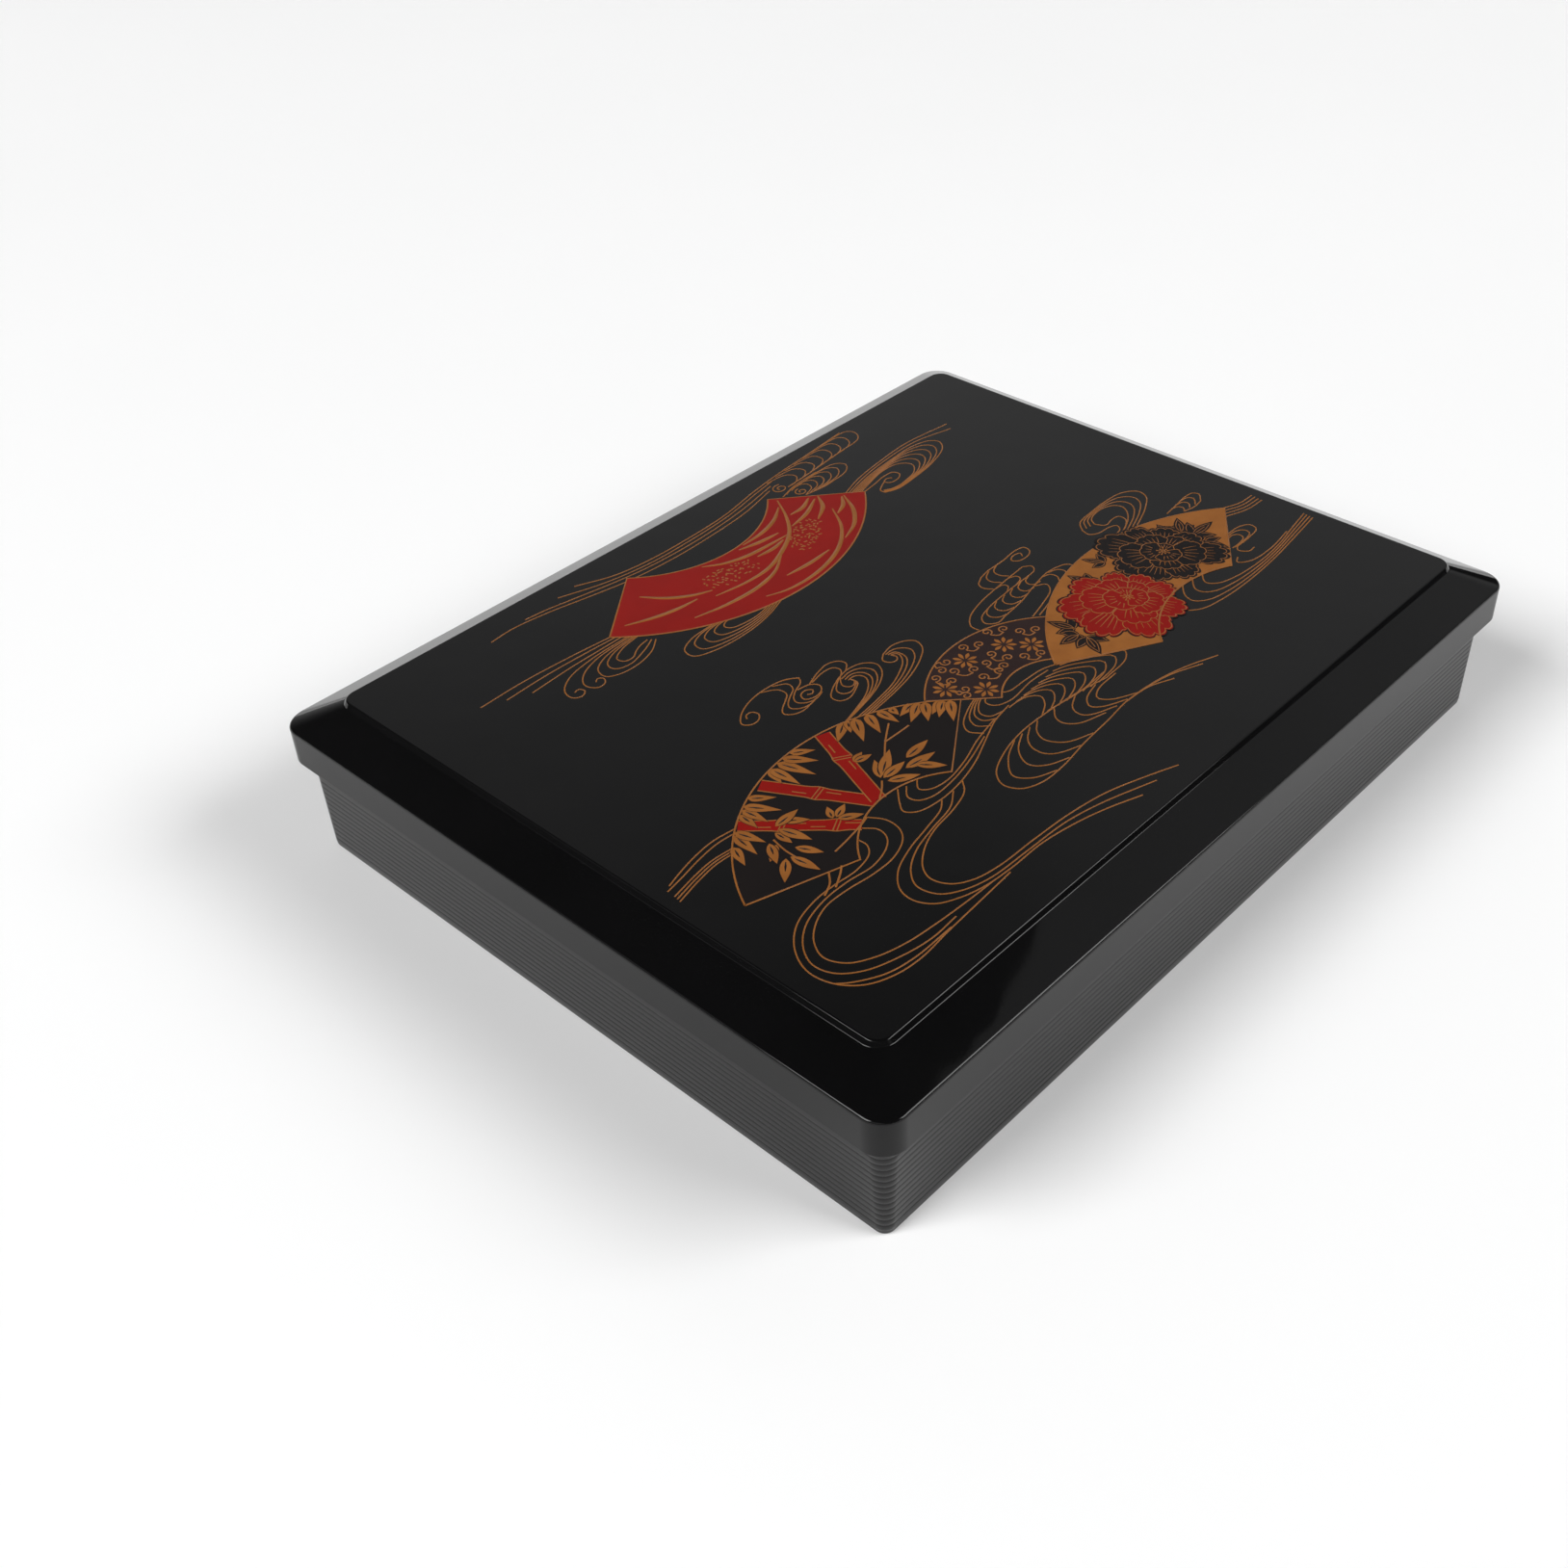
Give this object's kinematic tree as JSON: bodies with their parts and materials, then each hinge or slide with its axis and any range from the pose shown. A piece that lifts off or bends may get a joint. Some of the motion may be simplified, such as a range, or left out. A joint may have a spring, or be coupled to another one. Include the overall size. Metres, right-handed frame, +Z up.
{
  "type": "bento box",
  "caption": "Large rectangular lacquered bento box: ribbed base, lift-off lid with a raised panel, half-lapped dividers and lift-out trays for serving a divided meal.",
  "frame": {"origin": "centre of the footprint, on the surface that the box stands on", "axes": "+X along the long side, +Y along the short side, +Z up towards the lid's panel"},
  "size_m": [0.302, 0.24, 0.055],
  "materials": {
    "black_lacquer": "gloss black, finely ribbed outside",
    "lid_lacquer": "mirror gloss black with a printed top",
    "divider_lacquer": "satin black",
    "vermilion_lacquer": "satin vermilion",
    "gold_print": "satin gold print",
    "red_print": "satin red print",
    "dark_print": "satin dark plum print"
  },
  "bodies": {
    "base": {"base_box": "black_lacquer"},
    "long_divider": {"long_divider": "divider_lacquer"},
    "cross_divider": {"cross_divider": "divider_lacquer"},
    "rice_tray": {"rice_tray": "vermilion_lacquer"},
    "main_dish_tray": {"main_dish_tray": "vermilion_lacquer"},
    "side_dish_tray": {"side_dish_tray": "vermilion_lacquer"},
    "pickle_tray": {"pickle_tray": "vermilion_lacquer"},
    "lid": {"lid": "lid_lacquer"}
  },
  "joints": [
    {"name": "long_divider_lift", "type": "slide", "parent": "base", "child": "long_divider", "axis": [0, 0, 1], "range_m": [0, 0.06]},
    {"name": "cross_divider_lift", "type": "slide", "parent": "long_divider", "child": "cross_divider", "axis": [0, 0, 1], "range_m": [0, 0.06]},
    {"name": "rice_tray_lift", "type": "slide", "parent": "cross_divider", "child": "rice_tray", "axis": [0, 0, 1], "range_m": [0, 0.06]},
    {"name": "main_dish_tray_lift", "type": "slide", "parent": "rice_tray", "child": "main_dish_tray", "axis": [0, 0, 1], "range_m": [0, 0.06]},
    {"name": "side_dish_tray_lift", "type": "slide", "parent": "main_dish_tray", "child": "side_dish_tray", "axis": [0, 0, 1], "range_m": [0, 0.06]},
    {"name": "pickle_tray_lift", "type": "slide", "parent": "side_dish_tray", "child": "pickle_tray", "axis": [0, 0, 1], "range_m": [0, 0.06]},
    {"name": "lid_lift", "type": "slide", "parent": "pickle_tray", "child": "lid", "axis": [0, 0, 1], "range_m": [0, 0.12]}
  ]
}
